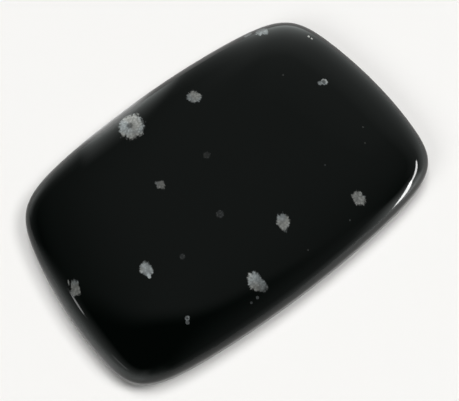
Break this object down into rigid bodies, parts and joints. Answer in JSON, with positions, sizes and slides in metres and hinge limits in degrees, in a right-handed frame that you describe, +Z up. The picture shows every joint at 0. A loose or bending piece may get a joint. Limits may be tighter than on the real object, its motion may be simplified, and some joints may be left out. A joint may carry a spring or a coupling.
{
  "type": "snowflake obsidian cabochon",
  "caption": "Loose cushion-shaped cabochon of polished black obsidian with grey snowflake spots, low domed with a flat back for setting in jewellery.",
  "frame": {"origin": "middle of the flat back, which is the resting face", "axes": "+Z up out of the dome, +X along the length, +Y across the width"},
  "size_m": [0.036, 0.024, 0.0049],
  "materials": {
    "polished_obsidian": "mirror-polished black volcanic glass with grey spherulites, lapped flat on the back"
  },
  "bodies": {
    "root": {"cabochon": "polished_obsidian"}
  },
  "joints": []
}
